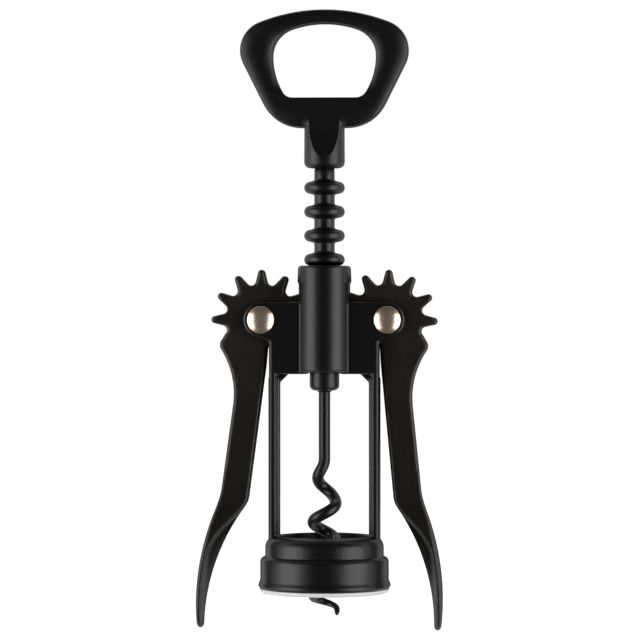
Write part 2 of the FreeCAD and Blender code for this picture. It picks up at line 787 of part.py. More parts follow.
def make_rivet_stud():
    shank = cross_pin(rivet_stud_radius, 0.0, 0.0, -ear_outer_face, ear_outer_face - rivet_sleeve_play)
    return rivet_head(-1.0).fuse(shank)


def make_rivet_sleeve():
    tube = cross_pin(rivet_sleeve_radius, 0.0, 0.0, -ear_outer_face, ear_outer_face)
    socket = cross_pin(rivet_stud_radius, 0.0, 0.0, -ear_outer_face, ear_outer_face - rivet_sleeve_play)
    return rivet_head(1.0).fuse(tube.cut(socket))


def at_pivot(shape, side):
    placed = shape.copy()
    placed.translate(at(side * pivot_offset, pivot_height))
    return placed


def build_parts():
    return {
        "handle": make_handle(),
        "rack_sleeve": make_rack_sleeve(),
        "worm": make_worm(),
        "worm_collar": make_worm_collar(),
        "frame": make_frame(),
        "bell_liner": make_bell_liner(),
        "left_lever": make_lever(left_lever_lift),
        "right_lever": mirrored(make_lever(right_lever_lift)),
        "left_rivet_stud": at_pivot(make_rivet_stud(), -1.0),
        "left_rivet_sleeve": at_pivot(make_rivet_sleeve(), -1.0),
        "right_rivet_stud": at_pivot(make_rivet_stud(), 1.0),
        "right_rivet_sleeve": at_pivot(make_rivet_sleeve(), 1.0),
    }


os.makedirs("parts", exist_ok=True)
for name, shape in build_parts().items():
    print(name, shape.isValid(), len(shape.Solids), round(shape.Volume, 1))
    shape.exportStep("parts/" + name + ".step")
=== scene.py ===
import math

import bmesh
import bpy
from mathutils import Matrix, Vector


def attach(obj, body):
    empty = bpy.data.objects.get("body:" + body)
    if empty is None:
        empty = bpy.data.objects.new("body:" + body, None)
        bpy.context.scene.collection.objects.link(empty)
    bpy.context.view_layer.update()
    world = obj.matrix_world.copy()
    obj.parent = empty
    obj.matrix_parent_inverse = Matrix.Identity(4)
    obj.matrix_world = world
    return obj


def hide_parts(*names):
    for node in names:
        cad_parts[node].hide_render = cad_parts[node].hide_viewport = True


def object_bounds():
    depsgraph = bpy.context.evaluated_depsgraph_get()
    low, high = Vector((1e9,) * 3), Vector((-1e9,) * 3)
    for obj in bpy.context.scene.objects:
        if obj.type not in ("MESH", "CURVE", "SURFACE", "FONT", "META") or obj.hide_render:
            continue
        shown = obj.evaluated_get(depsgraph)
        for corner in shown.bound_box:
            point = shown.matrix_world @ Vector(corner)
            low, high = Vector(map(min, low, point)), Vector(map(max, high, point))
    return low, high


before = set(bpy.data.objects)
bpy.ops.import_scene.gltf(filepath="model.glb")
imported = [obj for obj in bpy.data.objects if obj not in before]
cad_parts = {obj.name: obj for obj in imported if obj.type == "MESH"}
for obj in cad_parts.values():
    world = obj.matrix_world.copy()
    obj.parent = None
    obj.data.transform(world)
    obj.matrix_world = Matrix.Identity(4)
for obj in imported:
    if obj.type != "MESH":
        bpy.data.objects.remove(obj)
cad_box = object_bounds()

# A wing corkscrew, levers down.  Pieces are shaped in millimetres, with the bell's mouth at
# Z = 0, the front towards -Y and +Z up the spindle, and go to metres when they are placed.

# ---- studio: a white sweep, two tall soft boxes beside the tool, a long lens ----
# The tool stands in front of a white sweep, its lever tips just above the floor.  The soft
# boxes stand well to each side, so round parts show two light stripes and a dark middle.  The
# room is dim in front and bright behind, which edges the black pieces with light.
millimetre = 0.001
floor_drop = 0.4
floor_size = 9.0
sweep_colour = (0.8, 0.8, 0.8, 1.0)
sweep_glow = (0.90, 1.0)
sweep_fade = (0.15, 0.6)
camera_distance = 930.0
camera_turn = 2.6
camera_aim_side = -1.35
camera_aim_height = 81.66
camera_lens = 174.4
camera_sensor = 36.0
soft_box_turns = (-63.0, 60.0)
soft_box_lift = -8.0
soft_box_distance = 1.45
soft_box_width = 1.15
soft_box_height = 2.0
soft_box_watts = 28.0
front_dimness = 0.05
back_glow = 0.95
back_span = (0.42, 0.56, 0.88, 0.97)
fill_light = 0.09


def turned_away(turn, distance, lift=0.0):
    """A place seen from the tool; turn 0 is the front and 90 the right, in degrees."""
    side = math.sin(math.radians(turn)) * distance
    front = -math.cos(math.radians(turn)) * distance
    return Vector((side, front, math.tan(math.radians(lift)) * distance))


def facing(thing, target):
    """Turns a camera or a lamp towards a point."""
    thing.rotation_mode = "QUATERNION"
    thing.rotation_quaternion = (target - thing.location).to_track_quat("-Z", "Y")


def in_scene(name, data):
    """A new object in the scene, from a mesh, a lamp or a camera."""
    thing = bpy.data.objects.new(name, data)
    bpy.context.scene.collection.objects.link(thing)
    return thing


def ranged(nodes, links, mask, span, low, high, way="LINEAR"):
    """A value that runs from low to high as a mask goes over a span."""
    spread = nodes.new("ShaderNodeMapRange")
    spread.interpolation_type = way
    for socket, value in zip(("From Min", "From Max", "To Min", "To Max"), (*span, low, high)):
        spread.inputs[socket].default_value = value
    links.new(mask, spread.inputs["Value"])
    return spread.outputs["Result"]


def blended(nodes, links, mask, first, second):
    """From first to second as a mask goes from 0 to 1; each is a colour or another socket."""
    tone = nodes.new("ShaderNodeMix")
    tone.data_type = "RGBA"
    links.new(mask, tone.inputs["Factor"])
    for socket, colour in (("A", first), ("B", second)):
        if isinstance(colour, tuple):
            tone.inputs[socket].default_value = colour
        else:
            links.new(colour, tone.inputs[socket])
    return tone.outputs["Result"]


def combined(nodes, links, operation, first, second):
    """One value out of two, by an operation."""
    sums = nodes.new("ShaderNodeMath")
    sums.operation = operation
    links.new(first, sums.inputs[0])
    links.new(second, sums.inputs[1])
    return sums.outputs["Value"]


aim = turned_away(camera_turn + 90.0, camera_aim_side * millimetre)
aim.z = camera_aim_height * millimetre
camera = in_scene("camera", bpy.data.cameras.new("camera"))
camera.data.lens = camera_lens
camera.data.sensor_width = camera_sensor
camera.location = aim + turned_away(camera_turn, camera_distance * millimetre)
facing(camera, aim)
bpy.context.scene.camera = camera
bpy.context.scene.view_settings.view_transform = "Standard"

tool_middle = Vector((0.0, 0.0, camera_aim_height * millimetre))
for number, turn in enumerate(soft_box_turns):
    soft_box = in_scene("soft_box_%d" % number, bpy.data.lights.new("soft_box", "AREA"))
    soft_box.data.shape = "RECTANGLE"
    soft_box.data.size = soft_box_width
    soft_box.data.size_y = soft_box_height
    soft_box.data.energy = soft_box_watts
    soft_box.visible_camera = False
    soft_box.location = tool_middle + turned_away(turn, soft_box_distance, soft_box_lift)
    facing(soft_box, tool_middle)

world = bpy.data.worlds.new("studio")
bpy.context.scene.world = world
world.use_nodes = True
nodes, links = world.node_tree.nodes, world.node_tree.links
nodes.clear()
direction = nodes.new("ShaderNodeTexCoord")
split = nodes.new("ShaderNodeSeparateXYZ")
links.new(direction.outputs["Generated"], split.inputs["Vector"])
behind = nodes.new("ShaderNodeValToRGB")
behind.color_ramp.interpolation = "EASE"
stops = ((0.0, front_dimness), (back_span[0], front_dimness), (back_span[1], back_glow),
         (back_span[2], back_glow), (back_span[3], front_dimness))
while len(behind.color_ramp.elements) < len(stops):
    behind.color_ramp.elements.new(0.5)
for element, (place, level) in zip(behind.color_ramp.elements, stops):
    element.position = place
    element.color = (level, level, level, 1.0)
depth = ranged(nodes, links, split.outputs["Y"], (-1.0, 1.0), 0.0, 1.0)
links.new(depth, behind.inputs["Fac"])
rays = nodes.new("ShaderNodeLightPath").outputs
mirrored = combined(nodes, links, "MAXIMUM", rays["Is Glossy Ray"], rays["Is Transmission Ray"])
dim = (fill_light, fill_light, fill_light, 1.0)
fill = blended(nodes, links, mirrored, dim, behind.outputs["Color"])
seen = blended(nodes, links, rays["Is Camera Ray"], fill, (1.0, 1.0, 1.0, 1.0))
backdrop = nodes.new("ShaderNodeBackground")
links.new(seen, backdrop.inputs["Color"])
surroundings = nodes.new("ShaderNodeOutputWorld")
links.new(backdrop.outputs["Background"], surroundings.inputs["Surface"])

floor_mesh = bpy.data.meshes.new("studio_floor")
reach = floor_size / 2.0
floor_z = cad_box[0].z - floor_drop * millimetre
floor_corners = [(x * reach, y * reach, floor_z) for x, y in ((-1, -1), (1, -1), (1, 1), (-1, 1))]
floor_mesh.from_pydata(floor_corners, [], [(0, 1, 2, 3)])
floor = in_scene("studio_floor", floor_mesh)
floor.visible_glossy = False
floor.visible_shadow = False
paper = bpy.data.materials.new("white_paper_sweep")
paper.use_nodes = True
nodes, links = paper.node_tree.nodes, paper.node_tree.links
nodes.clear()
surface = nodes.new("ShaderNodeBsdfDiffuse")
surface.inputs["Color"].default_value = sweep_colour
glow = nodes.new("ShaderNodeEmission")
rays = nodes.new("ShaderNodeLightPath").outputs
spot = nodes.new("ShaderNodeTexCoord")
distance = nodes.new("ShaderNodeVectorMath")
distance.operation = "LENGTH"
links.new(spot.outputs["Object"], distance.inputs[0])
fade = ranged(nodes, links, distance.outputs["Value"], sweep_fade, *sweep_glow, "SMOOTHSTEP")
strength = combined(nodes, links, "MULTIPLY", rays["Is Camera Ray"], fade)
links.new(strength, glow.inputs["Strength"])
both = nodes.new("ShaderNodeAddShader")
links.new(surface.outputs["BSDF"], both.inputs[0])
links.new(glow.outputs["Emission"], both.inputs[1])
output = nodes.new("ShaderNodeOutputMaterial")
links.new(both.outputs["Shader"], output.inputs["Surface"])
floor.data.materials.append(paper)


# ---- frame: one casting of barrel, ears, posts and bell ----
# Die-cast zinc with a satin black lacquer.  The ears carry the levers on their rivets, the
# barrel guides the rack, and the bell at the foot of the two posts sits on the bottle.
pivot_height = 81.7
pivot_offset = 18.9
barrel_bottom = 65.9
barrel_top = 97.9
barrel_radius = 7.7
barrel_nose = 1.8
barrel_bore = 6.25
barrel_foot_round = 0.8
barrel_foot_lift = 0.3
barrel_top_round = 0.9
lug_length = 5.0
lug_proud = (0.34, 0.16)
lug_fade = (0.78, 0.92)
ear_face = 4.8
ear_slot_half = 2.65
ear_end_radius = 5.4
ear_side = 16.5
ear_corner_drop = 6.7
ear_below = 0.45
ear_round = 1.0
pocket_radius = 15.4
rivet_hole = 2.25
root_round = 0.8
root_lift = 0.1
root_overlap = 0.5
rib_width = 2.4
rib_round = 1.15
post_centre = 15.05
flange_width = 3.5
flange_depth = 4.4
flange_round = 0.8
flange_top = 64.3
gusset_reach = 2.95
gusset_thickness = 2.4
bore_overrun = 5.0
rivet_overrun = 2.0
bell_height = 17.0
bell_foot = 1.3
bell_mouth = 17.3
bell_band = 19.3
bell_bead_proud = 0.55
bell_bead_height = 1.9
bell_bead_lip = 0.25
bell_bead_flare = 1.0
bell_step = 10.8
bell_step_round = 1.5
bell_shoulder = 3.4
bell_opening = 13.3
bell_roof = 1.8
bell_neck_wall = 1.7
bell_ledge = 9.3
edge_angle = 50.0
edge_steps = 4
weld_reach = 0.0001
casting_grain = 0.2
softening_pull = 0.5
flat_face_weight = 60
frame_softening = 7
frame_triangles = 88000
lacquer_black = (0.0010, 0.0010, 0.0010, 1.0)
lacquer_worn = (0.0020, 0.0019, 0.0018, 1.0)
lacquer_roughness = (0.33, 0.39)
lacquer_shine = 0.37
lacquer_cloud = 6.0
lacquer_speckle = (0.3, 0.7)
peel_grain = 0.35
peel_depth = 0.01


def arc(centre, radius, start, stop, steps):
    """Points of an arc, ends included; degrees run from the first axis to the second."""
    turns = [math.radians(start + (stop - start) * step / steps) for step in range(steps + 1)]
    x, y = centre
    return [(x + radius * math.cos(turn), y + radius * math.sin(turn)) for turn in turns]


def circle(centre, radius, sides):
    """Points evenly round a full circle."""
    return arc(centre, radius, 0.0, 360.0 - 360.0 / sides, sides - 1)


def faced_outwards(mesh, join=0.0):
    """Turns a mesh's faces outwards, after joining the points that meet."""
    work = bmesh.new()
    work.from_mesh(mesh)
    if join > 0.0:
        bmesh.ops.remove_doubles(work, verts=work.verts, dist=join)
    bmesh.ops.recalc_face_normals(work, faces=work.faces)
    work.to_mesh(mesh)
    work.free()


def ring_solid(rings, capped=True):
    """A closed solid through rings of points, capped at both ends or joined into a loop."""
    count = len(rings[0])
    faces = []
    for row in range(len(rings) - 1 if capped else len(rings)):
        here = row * count
        there = (row + 1) % len(rings) * count
        for column in range(count):
            beside = (column + 1) % count
            faces.append((here + column, here + beside, there + beside, there + column))
    if capped:
        faces.append(tuple(range(count)))
        faces.append(tuple(range((len(rings) - 1) * count, len(rings) * count)))
    mesh = bpy.data.meshes.new("solid")
    mesh.from_pydata([point for ring in rings for point in ring], [], faces)
    faced_outwards(mesh)
    return in_scene("solid", mesh)


def plate(outline, half):
    """An X-Z outline made a plate, centred on Y = 0."""
    return ring_solid([[(x, y, z) for x, z in outline] for y in (-half, half)])


def upright_bar(outline, low, high):
    """An X-Y outline drawn up from one height to another."""
    return ring_solid([[(x, y, z) for x, y in outline] for z in (low, high)])


def cross_bar(x, z, radius, half, sides=96):
    """A round bar along Y."""
    return plate(circle((x, z), radius, sides), half)


def smooth_step(value):
    """A smooth rise from 0 to 1 as the value goes from 0 to 1, and level outside that."""
    share = min(max(value, 0.0), 1.0)
    return share * share * (3.0 - 2.0 * share)


def side_lug(turn, z):
    """How proud of the barrel its two side lugs stand at a turn about it and a height."""
    rise = (z - barrel_top + lug_length) / lug_length
    if rise <= 0.0:
        return 0.0
    proud = lug_proud[0] + (lug_proud[1] - lug_proud[0]) * rise
    return proud * smooth_step((abs(math.cos(turn)) - lug_fade[0]) / (lug_fade[1] - lug_fade[0]))


def turned(profile, sides=160):
    """A closed profile of radius, height and nose, turned round Z; the nose lengthens it along Y."""
    rings = []
    for half_turn, side in ((0.0, 1.0), (180.0, -1.0)):
        for step in range(sides // 2 + 1):
            turn = math.radians(half_turn + 360.0 * step / sides)
            ring = []
            for radius, z, nose in profile:
                reach = radius + (side_lug(turn, z) if nose > 0.0 else 0.0)
                ring.append((reach * math.cos(turn), reach * math.sin(turn) + side * nose, z))
            rings.append(ring)
    solid = ring_solid(rings, capped=False)
    faced_outwards(solid.data, weld_reach)
    return solid


def settled(piece):
    """The piece with its modifiers made part of its mesh."""
    graph = bpy.context.evaluated_depsgraph_get()
    mesh = bpy.data.meshes.new_from_object(piece.evaluated_get(graph), depsgraph=graph)
    piece.modifiers.clear()
    piece.data = mesh
    return piece


def discard(*pieces):
    """Deletes solids that were only joined into others or cut from them."""
    for piece in pieces:
        bpy.data.objects.remove(piece)


def cut(piece, tools):
    """Takes the tools' shapes out of a piece."""
    for tool in tools:
        step = piece.modifiers.new("cut", "BOOLEAN")
        step.operation = "DIFFERENCE"
        step.solver = "EXACT"
        step.object = tool
    return settled(piece)


def rounded_edges(piece, radius):
    """Rounds the sharp edges of a plate."""
    step = piece.modifiers.new("rounds", "BEVEL")
    step.width = radius
    step.segments = edge_steps
    step.angle_limit = math.radians(edge_angle)
    step.use_clamp_overlap = False
    return settled(piece)


def cast(name, solids, softening, triangles):
    """Fuses overlapping solids into one casting, with soft edges and hollow corners."""
    together = bmesh.new()
    for solid in solids:
        together.from_mesh(solid.data)
    discard(*solids)
    mesh = bpy.data.meshes.new(name)
    together.to_mesh(mesh)
    together.free()
    piece = in_scene(name, mesh)
    fusing = piece.modifiers.new("fusing", "REMESH")
    fusing.mode = "VOXEL"
    fusing.voxel_size = casting_grain * 1.0
    soft = piece.modifiers.new("softening", "SMOOTH")
    soft.factor = softening_pull
    soft.iterations = softening
    settled(piece)
    thinning = piece.modifiers.new("thinning", "DECIMATE")
    thinning.ratio = min(1.0, triangles / (2.0 * len(piece.data.polygons)))
    settled(piece)
    piece.data.shade_smooth()
    even = piece.modifiers.new("even shading", "WEIGHTED_NORMAL")
    even.weight = flat_face_weight
    return settled(piece)


def placed(piece, name, material):
    """Names a finished piece, takes it to metres and gives it its material."""
    piece.name = name
    piece.data.name = name
    piece.data.transform(Matrix.Scale(millimetre, 4))
    piece.data.materials.clear()
    piece.data.materials.append(material)
    return piece


def fine_texture(nodes, links, grain_size, detail=3.0):
    """A noise whose grains have the given size in millimetres."""
    place = nodes.new("ShaderNodeTexCoord")
    grains = nodes.new("ShaderNodeTexNoise")
    grains.inputs["Scale"].default_value = 1.0 / (grain_size * millimetre)
    grains.inputs["Detail"].default_value = detail
    links.new(place.outputs["Object"], grains.inputs["Vector"])
    return grains.outputs["Fac"]


def new_finish(name):
    """A new material, its nodes and links, and its shader."""
    material = bpy.data.materials.new(name)
    material.use_nodes = True
    nodes, links = material.node_tree.nodes, material.node_tree.links
    return material, nodes, links, nodes["Principled BSDF"]


def satin_lacquer(name, dark, light, roughness, peel=0.35, patch=0.9):
    """Black lacquer: fine orange peel, faint cloudiness and an uneven satin sheen."""
    material, nodes, links, shader = new_finish(name)
    shader.inputs["Specular IOR Level"].default_value = lacquer_shine
    clouds = fine_texture(nodes, links, lacquer_cloud)
    links.new(blended(nodes, links, clouds, dark, light), shader.inputs["Base Color"])
    speckle = fine_texture(nodes, links, patch, 5.0)
    links.new(ranged(nodes, links, speckle, lacquer_speckle, *roughness), shader.inputs["Roughness"])
    bumps = nodes.new("ShaderNodeBump")
    bumps.inputs["Strength"].default_value = peel
    bumps.inputs["Distance"].default_value = peel_depth * millimetre
    links.new(fine_texture(nodes, links, peel_grain, 2.0), bumps.inputs["Height"])
    links.new(bumps.outputs["Normal"], shader.inputs["Normal"])
    return material


def both_sides(half_outline):
    """A right-hand outline and its mirror image, from top middle round to top middle."""
    return half_outline + [(-x, z) for x, z in reversed(half_outline)]


def ear_outline():
    """Both ears as one plate: round ends at the pivots, and straight sides down to the posts."""
    pivot = Vector((pivot_offset, pivot_height))
    corner = Vector((ear_side, pivot_height - ear_corner_drop))
    to_corner = corner - pivot
    away = math.degrees(math.atan2(to_corner.y, to_corner.x))
    tangent = away + math.degrees(math.acos(ear_end_radius / to_corner.length))
    half = arc(pivot, ear_end_radius, 90.0, tangent - 360.0 if tangent > 90.0 else tangent, 28)
    return both_sides(half + [tuple(corner), (ear_side, barrel_bottom - ear_below)])


def rounded_rectangle(x, width, depth, radius):
    """The X-Y outline of a post's bar."""
    outline = []
    for start, side_x, side_y in ((0.0, 1, 1), (90.0, -1, 1), (180.0, -1, -1), (270.0, 1, -1)):
        corner = (x + side_x * (width / 2.0 - radius), side_y * (depth / 2.0 - radius))
        outline += arc(corner, radius, start, start + 90.0, 8)
    return outline


def barrel_profile():
    """The barrel's wall as radius, height and nose: outside upwards, then down the bore."""
    lug_foot = barrel_top - lug_length
    foot = (barrel_radius - barrel_foot_round, barrel_bottom + barrel_foot_lift + barrel_foot_round)
    top = (barrel_radius - barrel_top_round, barrel_top - barrel_top_round)
    outside = arc(foot, barrel_foot_round, -90.0, 0.0, 6)
    outside += [(barrel_radius, lug_foot), (barrel_radius, lug_foot + 0.02)]
    outside += arc(top, barrel_top_round, 0.0, 90.0, 8)
    return [(radius, z, barrel_nose) for radius, z in outside] + [
        (barrel_bore, barrel_top, 0.0), (barrel_bore, barrel_bottom, 0.0)]


def root_outline(side_x, side_y):
    """The hollow fillet between the barrel and one face of the ears, seen from above."""
    centre_y = ear_face + root_round
    reach = barrel_radius + root_round
    centre_x = math.sqrt(reach ** 2 - (centre_y - barrel_nose) ** 2)
    lean = math.degrees(math.atan2(centre_y - barrel_nose, centre_x))
    hollow = arc((centre_x, centre_y), root_round, 180.0 + lean, 270.0, 8)
    outline = hollow + [(centre_x, barrel_nose), (hollow[0][0] - root_overlap, barrel_nose)]
    return [(side_x * x, side_y * y) for x, y in outline]


def bell_profile():
    """The bell's wall from the foot bead up the outside and down the inside."""
    bead_top = bell_foot + bell_bead_height
    bead_middle = (bell_foot + bead_top) / 2.0
    bead = []
    for rise in [step / 6.0 - 1.0 for step in range(13)]:
        stand = bell_bead_lip if rise > 0.0 else 0.0
        swell = (bell_bead_proud - stand) * math.cos(math.pi * rise / 2.0)
        bead.append((bell_band + stand + swell, bead_middle + rise * bell_bead_height / 2.0))
    flare = [(bell_band + bell_bead_lip * (1.0 - share) ** 2, bead_top + bell_bead_flare * share)
             for share in (0.25, 0.5, 0.75, 1.0)]
    neck = bell_band - bell_step_round
    step = arc((neck, bell_step - bell_step_round), bell_step_round, 0.0, 90.0, 8)
    shoulder = arc((neck - bell_shoulder, bell_height - bell_shoulder), bell_shoulder, 0.0, 90.0, 12)
    roof = bell_height - bell_roof
    inner = neck - bell_neck_wall
    inside = [(bell_opening, bell_height), (bell_opening, roof), (inner, roof), (inner, bell_ledge),
              (bell_mouth, bell_ledge), (bell_mouth, bell_foot)]
    return [(radius, z, 0.0) for radius, z in bead + flare + step + shoulder + inside]


gear_room = [cross_bar(side * pivot_offset, pivot_height, pocket_radius, ear_slot_half)
             for side in (-1, 1)]
rivet_room = [cross_bar(side * pivot_offset, pivot_height, rivet_hole, ear_face + rivet_overrun, 48)
              for side in (-1, 1)]
bore_room = [upright_bar(circle((0.0, 0.0), barrel_bore, 120),
                         barrel_bottom - bore_overrun, barrel_top + bore_overrun)]
ears = cut(rounded_edges(plate(ear_outline(), ear_face), ear_round), gear_room + rivet_room + bore_room)
barrel = cut(turned(barrel_profile()), gear_room)
root_top = pivot_height + ear_end_radius - ear_round
roots = [cut(upright_bar(root_outline(side_x, side_y), barrel_bottom + root_lift, root_top),
             gear_room + bore_room)
         for side_x in (-1, 1) for side_y in (-1, 1)]
posts = []
post_foot = bell_height - bell_roof / 2.0
rib_top = barrel_bottom + ear_round
gusset_foot = barrel_bottom - gusset_reach
for side in (-1, 1):
    rib_x = side * (ear_side - rib_width / 2.0)
    flange_x = side * (post_centre - flange_width / 2.0)
    corner_x = flange_x - side * gusset_reach
    rib = rounded_rectangle(rib_x, rib_width, 2.0 * ear_face, rib_round)
    flange = rounded_rectangle(side * post_centre, flange_width, flange_depth, flange_round)
    gusset = [(rib_x, rib_top), (corner_x, rib_top), (corner_x, barrel_bottom),
              (flange_x, gusset_foot), (rib_x, gusset_foot)]
    for bar in (upright_bar(rib, post_foot, rib_top), upright_bar(flange, post_foot, flange_top),
                plate(gusset, gusset_thickness / 2.0)):
        posts.append(cut(bar, gear_room))
bell = turned(bell_profile())
discard(*gear_room, *rivet_room, *bore_room)
frame_lacquer = satin_lacquer("frame_lacquer", lacquer_black, lacquer_worn, lacquer_roughness)
frame_solids = [ears, barrel, bell] + roots + posts
frame_casting = cast("frame_casting", frame_solids, frame_softening, frame_triangles)
placed(frame_casting, "frame_casting", frame_lacquer)
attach(frame_casting, "frame")
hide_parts("frame")


# ---- bell liner: the ring that spares the bottle's lip ----
# Injection-moulded white plastic, slightly milky, pressed into the bell's mouth.  Only the
# rim of its flange stands out under the bell.
liner_bore = 15.1
liner_sleeve = 17.2
liner_flange = 19.4
liner_flange_height = 1.3
liner_height = 9.0
liner_gap = 0.02
liner_round = 1.1
liner_mouth_round = 0.35
liner_back_round = 0.15
liner_top_round = 0.3
fine_edge_angle = 40.0
liner_white = (0.68, 0.68, 0.67, 1.0)
liner_cloudy = (0.646, 0.646, 0.6432, 1.0)
liner_roughness = (0.34, 0.46)
milky_share = 0.25
milky_depth = (0.0012, 0.0011, 0.001)
milky_cloud = 3.0


def rounded_profile(corners):
    """A closed profile from corners of radius, height and rounding."""
    outline = []
    for index, (x, z, radius) in enumerate(corners):
        here = Vector((x, z))
        before = (Vector(corners[index - 1][:2]) - here).normalized()
        after = (Vector(corners[(index + 1) % len(corners)][:2]) - here).normalized()
        if radius == 0.0:
            outline.append((x, z))
            continue
        half_angle = before.angle(after) / 2.0
        reach = radius / math.tan(half_angle)
        centre = here + (before + after).normalized() * radius / math.sin(half_angle)
        start = here + before * reach - centre
        stop = here + after * reach - centre
        for step in range(7):
            spoke = start.slerp(stop, step / 6.0)
            outline.append(tuple(centre + spoke.normalized() * radius))
    return outline


def smooth_shaded(piece, sharp_angle=fine_edge_angle):
    """Shades a piece smooth, up to its sharp edges."""
    piece.data.shade_smooth()
    piece.data.set_sharp_from_angle(angle=math.radians(sharp_angle))
    return piece


def turned_piece(corners, sides=192):
    """A turned or moulded ring with rounded corners."""
    return smooth_shaded(turned([(x, z, 0.0) for x, z in rounded_profile(corners)], sides))


def clouded(nodes, links, shader, cloud_size, tones, roughness):
    """Gives a shader two tones and two sheens, both in the same clouds."""
    clouds = fine_texture(nodes, links, cloud_size)
    links.new(blended(nodes, links, clouds, *tones), shader.inputs["Base Color"])
    links.new(ranged(nodes, links, clouds, (0.0, 1.0), *roughness), shader.inputs["Roughness"])


liner_plastic, nodes, links, shader = new_finish("liner_plastic")
shader.inputs["Subsurface Weight"].default_value = milky_share
shader.inputs["Subsurface Radius"].default_value = milky_depth
shader.inputs["Subsurface Scale"].default_value = 1.0
clouded(nodes, links, shader, milky_cloud, (liner_white, liner_cloudy), liner_roughness)
liner_back = liner_flange_height - liner_gap
bell_liner = turned_piece([
    (liner_bore, 0.0, liner_mouth_round), (liner_flange, 0.0, liner_round),
    (liner_flange, liner_back, liner_back_round), (liner_sleeve, liner_back, 0.0),
    (liner_sleeve, liner_height, liner_top_round), (liner_bore, liner_height, liner_top_round)])
placed(bell_liner, "bell_liner_ring", liner_plastic)
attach(bell_liner, "frame")
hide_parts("bell_liner")


# ---- levers: two castings, each a toothed hub with an arm and a thumb rest ----
# Die-cast zinc in the same lacquer, browner and lighter near the hub.  The teeth turn against
# the rack's rings, and the arm widens below into a rounded thumb rest with a hollow inside.
lever_half = 2.5
lever_lifts = {"left_lever": 0.3, "right_lever": -1.8}
lever_bore = 2.3
tooth_angle = 30.0
lever_teeth = 7
tooth_tip = 15.05
tooth_tip_round = 1.15
tooth_foot = 11.6
tooth_half = 1.7
tooth_root = 10.7
shoulder = ((11.75, -5.8), (12.45, -7.5), (11.87, -9.2))
neck_waist = (8.2, -22.2)
neck_end = (8.4, -25.5)
arm_inner_top = (-1.64, -13.0)
hub_foot = (-2.1, -7.4)
hub_foot_turn = -35.0
arm_inner_slope = 0.127
arm_outer_slope = 0.133
arm_end = 46.0
arm_overlap = 1.0
bend_ease = 1.2
rest_outer = (75.0, 19.26, 85.5)
rest_inner = (62.0, 16.85, 93.0)
rest_half_width = 6.8
rest_flare = (49.0, 70.0)
rest_round_start = 79.0
lever_length = 92.52
lever_end_land = 0.04
rest_tip_round = 1.5
rest_crown = 1.0
rest_rim = 1.8
ridge_span = (55.0, 70.0)
rim_land_share = 0.4
rib_half = 1.0
rib_share = 0.4
web_pull = (0.86, 0.26)
ridge_round = 0.3
lip_share = 0.45
lever_round = 1.2
lever_softening = 5
lever_triangles = 34000
lever_tone = ((0.0030, 0.0026, 0.0021, 1.0), (0.0050, 0.0043, 0.0034, 1.0))
# a lighter, browner tone that the levers take in patches up towards the hub
hub_brown_tone = (0.0105, 0.0068, 0.0048, 1.0)
hub_brown_heights = (0.036, 0.080)
hub_brown_patch = 9.0
hub_brown_span = (0.35, 0.65)
lever_roughness = (0.36, 0.43)


def through(start, middle, end, steps):
    """Points of the arc through three points, without its last one."""
    a, b, c = Vector(start), Vector(middle), Vector(end)
    twice = 2.0 * ((b - a).x * (c - a).y - (b - a).y * (c - a).x)
    ab, ac = (b - a).length_squared, (c - a).length_squared
    centre = a + Vector(((c - a).y * ab - (b - a).y * ac, (b - a).x * ac - (c - a).x * ab)) / twice
    first = math.atan2((a - centre).y, (a - centre).x)
    sweep = (math.atan2((c - centre).y, (c - centre).x) - first) % (2.0 * math.pi)
    if twice < 0.0:
        sweep -= 2.0 * math.pi
    radius = (a - centre).length
    return [(centre.x + radius * math.cos(first + sweep * step / steps),
             centre.y + radius * math.sin(first + sweep * step / steps)) for step in range(steps)]


def tooth_place(radius, offset, degrees):
    """A point beside a tooth's middle line; 0 degrees is towards the rack and 90 is up."""
    turn = math.radians(degrees)
    return (-radius * math.cos(turn) + offset * math.sin(turn),
            radius * math.sin(turn) + offset * math.cos(turn))


def lever_edge(drop, start, slope, radius, reach, widest):
    """The outer of the arm's edge and the thumb rest's, with a soft bend where they cross."""
    arm = start[0] + slope * (drop + start[1])
    rest = reach - radius + math.sqrt(radius ** 2 - (widest - drop) ** 2)
    return max(arm, rest) + bend_ease / 4.0 * max(0.0, 1.0 - abs(arm - rest) / bend_ease) ** 2


def inner_edge(drop):
    """How far the lever's inner edge stands outward of the pivot at a drop below it."""
    return lever_edge(drop, arm_inner_top, arm_inner_slope, *rest_inner)


def outer_edge(drop):
    """The same for the lever's outer edge."""
    return lever_edge(drop, neck_end, arm_outer_slope, *rest_outer)


def hub_and_arm():
    """The flat upper part: seven finger teeth, a shoulder, a waisted neck and the arm."""
    outline = []
    tip_centre = tooth_tip - tooth_tip_round
    for tooth in range(lever_teeth + 1):
        degrees = tooth * tooth_angle
        low_foot = tooth_place(tooth_foot, -tooth_half, degrees)
        if tooth > 0:
            valley = tooth_place(tooth_root, 0.0, degrees - tooth_angle / 2.0)
            outline += through(high_foot, valley, low_foot, 8)
        outline.append(low_foot)
        if tooth < lever_teeth:
            tip_end = tooth_place(tip_centre, tooth_tip_round, degrees)
            outline += through(tooth_place(tip_centre, -tooth_tip_round, degrees),
                               tooth_place(tooth_tip, 0.0, degrees), tip_end, 10)
            outline.append(tip_end)
            high_foot = tooth_place(tooth_foot, tooth_half, degrees)
    outline += through(*shoulder, 10)
    outline += through(shoulder[2], neck_waist, neck_end, 16)
    outline += [neck_end, (outer_edge(arm_end), -arm_end)]
    outline += [(inner_edge(arm_end), -arm_end), arm_inner_top, hub_foot]
    hub_turn = -tooth_angle / 2.0 - hub_foot_turn
    outline += [tooth_place(tooth_root, 0.0, hub_foot_turn + hub_turn * step / 6) for step in range(7)]
    return outline


